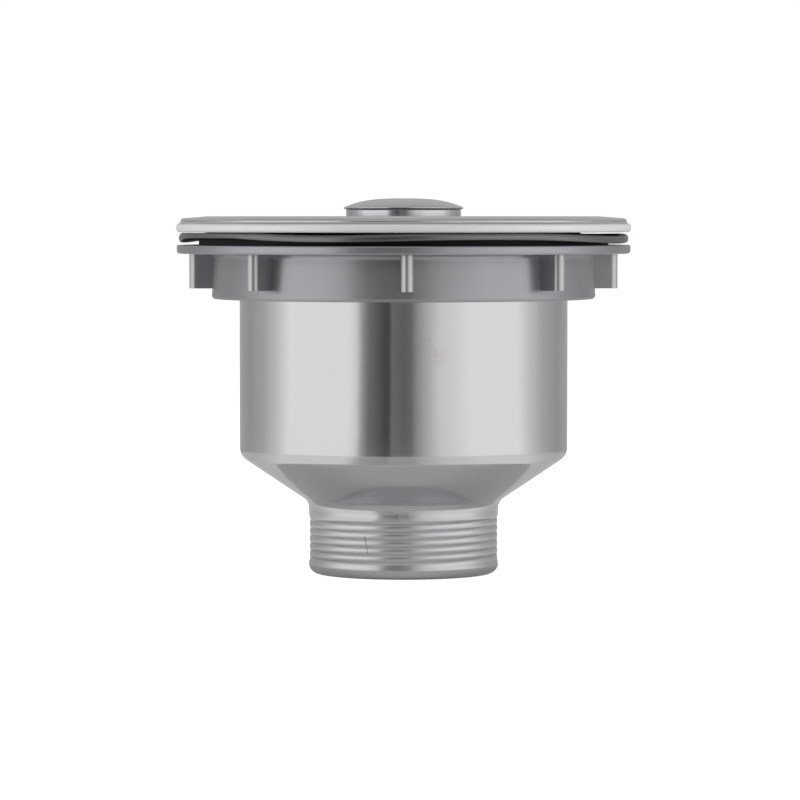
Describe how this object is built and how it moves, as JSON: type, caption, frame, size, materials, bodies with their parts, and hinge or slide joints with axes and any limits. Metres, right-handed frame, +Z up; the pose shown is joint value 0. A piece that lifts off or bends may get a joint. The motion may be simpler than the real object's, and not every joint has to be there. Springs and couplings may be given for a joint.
{
  "type": "kitchen sink basket strainer waste",
  "caption": "Deep stainless sink strainer waste with a wide flange, plastic lug nut, threaded outlet and lift-out perforated basket with a stopper.",
  "frame": {"origin": "centre of the outlet's lower rim, on the plane that the part stands on", "axes": "+Z up along the axis of the cup, post and outlet; the picture's viewer is on the -Y side, with +X to the right"},
  "size_m": [0.114, 0.114, 0.094],
  "materials": {
    "body_steel": "deep drawn stainless sheet, polished in fine lines round the cup, satin",
    "cross_steel": "stamped stainless sheet, satin",
    "turned_steel": "turned stainless, fine tool lines",
    "spring_steel": "drawn spring wire, satin",
    "basket_steel": "perforated stainless sheet, polished",
    "knob_steel": "turned and polished stainless",
    "cap_steel": "pressed stainless dome, satin",
    "soft_rubber": "soft dark grey rubber with a dull sheen",
    "black_rubber": "firm black rubber, matt",
    "ring_plastic": "thin pale plastic, smooth",
    "nut_plastic": "grey moulded plastic, half gloss",
    "filler_plastic": "dark moulded plastic"
  },
  "bodies": {
    "drain_body": {"strainer_cup": "body_steel", "outlet_cross": "cross_steel", "guide_bush": "turned_steel", "catch_ring": "spring_steel"},
    "clamp_stack": {"sink_gasket": "soft_rubber", "clamp_gasket": "black_rubber", "friction_ring": "ring_plastic"},
    "lock_nut": {"lock_nut": "nut_plastic"},
    "basket": {"basket_bowl": "basket_steel", "lift_post": "turned_steel", "post_collar": "turned_steel", "seal_washer": "cross_steel", "stopper_seal": "black_rubber", "seal_plate": "cross_steel", "basket_spacer": "turned_steel", "floor_washer": "cross_steel", "basket_nut": "turned_steel", "knob_bell": "knob_steel", "knob_filler": "filler_plastic", "knob_cap": "cap_steel"}
  },
  "joints": [
    {"name": "basket_lift", "type": "slide", "parent": "drain_body", "child": "basket", "axis": [0, 0, 1], "range_m": [0, 0.008]},
    {"name": "nut_travel", "type": "slide", "parent": "drain_body", "child": "clamp_stack", "axis": [0, 0, -1], "range_m": [0, 0.009]},
    {"name": "nut_turn", "type": "hinge", "parent": "clamp_stack", "child": "lock_nut", "pos_m": [0, 0, 0.0756], "axis": [0, 0, -1], "range_deg": [0, 1080]}
  ],
  "couplings": [
    {"joint": "nut_travel", "follows": "nut_turn", "m_per_rad": 0.000477}
  ]
}
